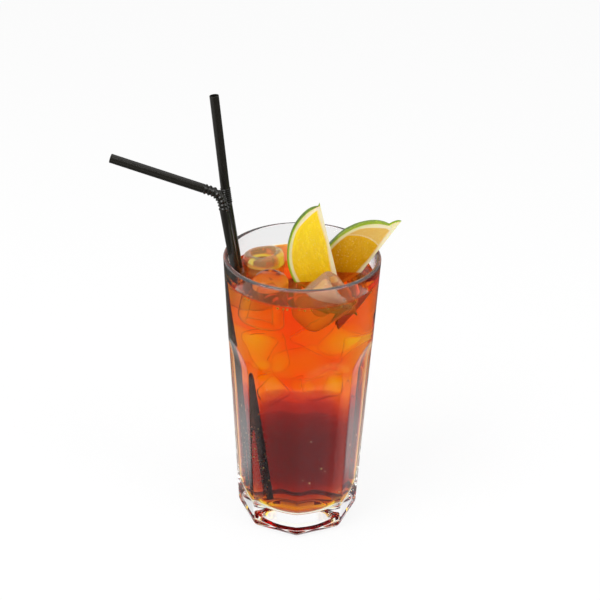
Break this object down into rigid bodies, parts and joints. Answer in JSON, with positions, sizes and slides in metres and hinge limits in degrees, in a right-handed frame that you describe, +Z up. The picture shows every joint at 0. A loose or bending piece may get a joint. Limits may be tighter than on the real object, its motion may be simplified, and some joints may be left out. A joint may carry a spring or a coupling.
{
  "type": "iced tea in a tumbler",
  "caption": "Tall panelled glass tumbler filled with amber iced tea, with hollow ice cubes, black bendy drinking straws and lime wedges standing in it.",
  "frame": {"origin": "centre of the tumbler's foot, on the surface it stands on", "axes": "+Z up along the tumbler's axis, -Y towards the front, where an edge between two panels faces, +X to the right, where the back lime wedge leans on the rim"},
  "size_m": [0.1568, 0.0858, 0.2522],
  "materials": {
    "glass": "clear pressed glass, polished",
    "drink": "clear amber liquid, darker towards the floor",
    "straw": "black polypropylene, satin",
    "lime": "moist lime flesh with pale pith and green rind",
    "ice": "clear wet ice"
  },
  "bodies": {
    "root": {"glass": "glass", "drink": "drink", "straw_bent": "straw", "straw_straight": "straw", "lime_wedge_front": "lime", "lime_wedge_back": "lime", "ice_left_back": "ice", "ice_left_front": "ice", "ice_right": "ice"}
  },
  "joints": []
}
